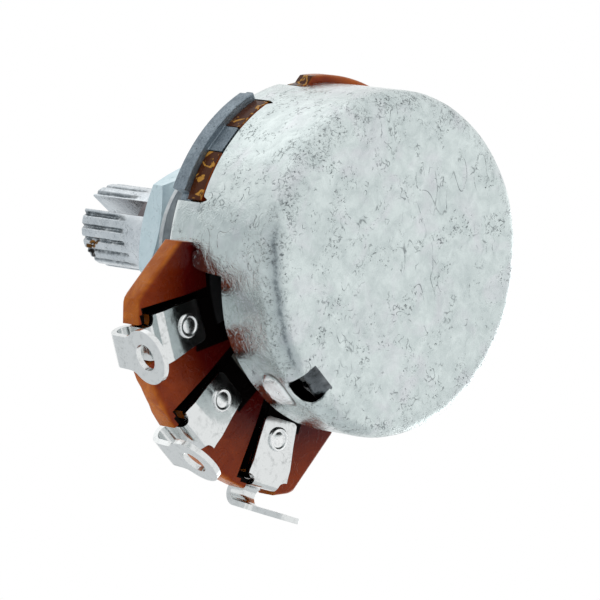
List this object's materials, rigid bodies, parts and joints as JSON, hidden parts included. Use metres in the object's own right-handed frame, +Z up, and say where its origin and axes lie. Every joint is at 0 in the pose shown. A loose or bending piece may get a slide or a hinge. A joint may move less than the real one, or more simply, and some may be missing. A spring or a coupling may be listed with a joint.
{
  "type": "rotary potentiometer",
  "caption": "Panel rotary potentiometer with a split knurled shaft, threaded bushing, steel cover and riveted solder terminals on a moulded board.",
  "frame": {"origin": "middle of the mounting face, on the shaft axis, at the front of the mounting plate", "axes": "-Y along the shaft to its knurled end, +Z up, terminals towards -Z"},
  "size_m": [0.025, 0.0298, 0.0312],
  "materials": {
    "cover_steel": "bright plated drawn steel, scratched",
    "plate_zinc": "blue-grey zinc, grainy",
    "bushing_metal": "plated",
    "shaft_metal": "pressed knurl, bright",
    "clip_steel": "spring steel",
    "rotor_plastic": "moulded",
    "wiper_brass": "rolled spring sheet",
    "board_phenolic": "moulded phenolic, glossy",
    "track_carbon": "printed carbon",
    "silver_layer": "printed silver",
    "terminal_tin": "bright tinned sheet",
    "rivet_metal": "bright, domed",
    "washer_steel": "stamped, plated",
    "nut_steel": "pale blue zinc plate"
  },
  "bodies": {
    "housing": {"rear_cover": "cover_steel", "mounting_plate": "plate_zinc", "bushing": "bushing_metal", "terminal_board": "board_phenolic", "resistive_track": "track_carbon", "collector_ring": "silver_layer", "terminal_left": "terminal_tin", "terminal_middle": "terminal_tin", "terminal_right": "terminal_tin", "rivet_left": "rivet_metal", "rivet_middle": "rivet_metal", "rivet_right": "rivet_metal", "washer": "washer_steel", "hex_nut": "nut_steel"},
    "spindle": {"shaft": "shaft_metal", "retaining_clip": "clip_steel", "rotor": "rotor_plastic", "wiper_spring": "wiper_brass"}
  },
  "joints": [
    {"name": "shaft_turn", "type": "hinge", "parent": "housing", "child": "spindle", "pos_m": [0, 0, 0], "axis": [0, -1, 0], "range_deg": [-150, 150]}
  ]
}
